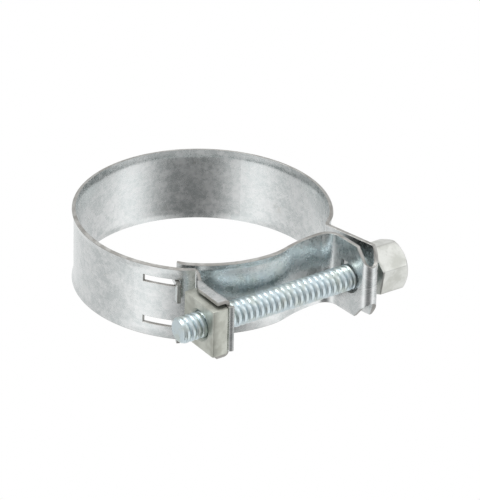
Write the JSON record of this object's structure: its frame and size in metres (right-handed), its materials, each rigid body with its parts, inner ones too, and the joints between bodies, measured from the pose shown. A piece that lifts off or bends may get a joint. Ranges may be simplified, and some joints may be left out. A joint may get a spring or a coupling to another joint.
{
  "type": "hose clamp",
  "caption": "Screw hose clamp: a folded steel strip with a slotted ring, hooked tongue, nut pocket and screw ear, closed by a hexagon-head screw and a square nut.",
  "frame": {"origin": "centre of the ring, midway across the band's width", "axes": "+Z along the hose, +X along the screw from its tip towards its head, -Y from the ring towards the two ears"},
  "size_m": [0.0509, 0.0555, 0.015],
  "materials": {
    "strip_zinc": "satin zinc plating with a fine mottled grain",
    "screw_zinc": "bright blue-white zinc plating",
    "nut_zinc": "dull warm-grey zinc plating"
  },
  "bodies": {
    "screw_ear": {"screw_ear": "strip_zinc"},
    "band_right": {"band_right": "strip_zinc"},
    "band_rear_right": {"band_rear_right": "strip_zinc"},
    "band_rear": {"band_rear": "strip_zinc"},
    "band_rear_left": {"band_rear_left": "strip_zinc"},
    "band_slotted": {"band_slotted": "strip_zinc"},
    "nut_ear": {"nut_ear": "strip_zinc"},
    "tongue": {"tongue": "strip_zinc"},
    "screw": {"screw": "screw_zinc"},
    "nut": {"nut": "nut_zinc"}
  },
  "joints": [
    {"name": "screw_turn", "type": "hinge", "parent": "screw_ear", "child": "screw", "pos_m": [0, -0.0256, 0], "axis": [-1, 0, 0], "range_deg": [0, 1261]},
    {"name": "nut_travel", "type": "slide", "parent": "screw_ear", "child": "nut", "axis": [1, 0, 0], "range_m": [0, 0.00438]},
    {"name": "foot_flex", "type": "hinge", "parent": "screw_ear", "child": "band_right", "pos_m": [0.01681, -0.01755, 0], "axis": [0, 0, 1], "range_deg": [-3.7, 0]},
    {"name": "right_flex", "type": "hinge", "parent": "band_right", "child": "band_rear_right", "pos_m": [0.02312, 0.0039, 0], "axis": [0, 0, 1], "range_deg": [0, 2.12]},
    {"name": "rear_right_flex", "type": "hinge", "parent": "band_rear_right", "child": "band_rear", "pos_m": [0.00977, 0.02132, 0], "axis": [0, 0, 1], "range_deg": [0, 2.12]},
    {"name": "rear_left_flex", "type": "hinge", "parent": "band_rear", "child": "band_rear_left", "pos_m": [-0.01214, 0.02006, 0], "axis": [0, 0, 1], "range_deg": [0, 2.12]},
    {"name": "left_flex", "type": "hinge", "parent": "band_rear_left", "child": "band_slotted", "pos_m": [-0.02342, 0.00123, 0], "axis": [0, 0, 1], "range_deg": [0, 2.12]},
    {"name": "nut_ear_flex", "type": "hinge", "parent": "band_slotted", "child": "nut_ear", "pos_m": [-0.01469, -0.01936, 0], "axis": [0, 0, 1], "range_deg": [-4.76, 0]},
    {"name": "tongue_flex", "type": "hinge", "parent": "screw_ear", "child": "tongue", "pos_m": [0.01283, -0.01951, 0], "axis": [0, 0, 1], "range_deg": [-5.66, 0]}
  ],
  "couplings": [
    {"joint": "screw_turn", "follows": "nut_travel", "rad_per_m": 5026.5},
    {"joint": "foot_flex", "follows": "nut_travel", "rad_per_m": -14.56},
    {"joint": "right_flex", "follows": "nut_travel", "rad_per_m": 8.3323},
    {"joint": "rear_right_flex", "follows": "nut_travel", "rad_per_m": 8.3323},
    {"joint": "rear_left_flex", "follows": "nut_travel", "rad_per_m": 8.3323},
    {"joint": "left_flex", "follows": "nut_travel", "rad_per_m": 8.3323},
    {"joint": "nut_ear_flex", "follows": "nut_travel", "rad_per_m": -18.769},
    {"joint": "tongue_flex", "follows": "nut_travel", "rad_per_m": -22.34}
  ]
}
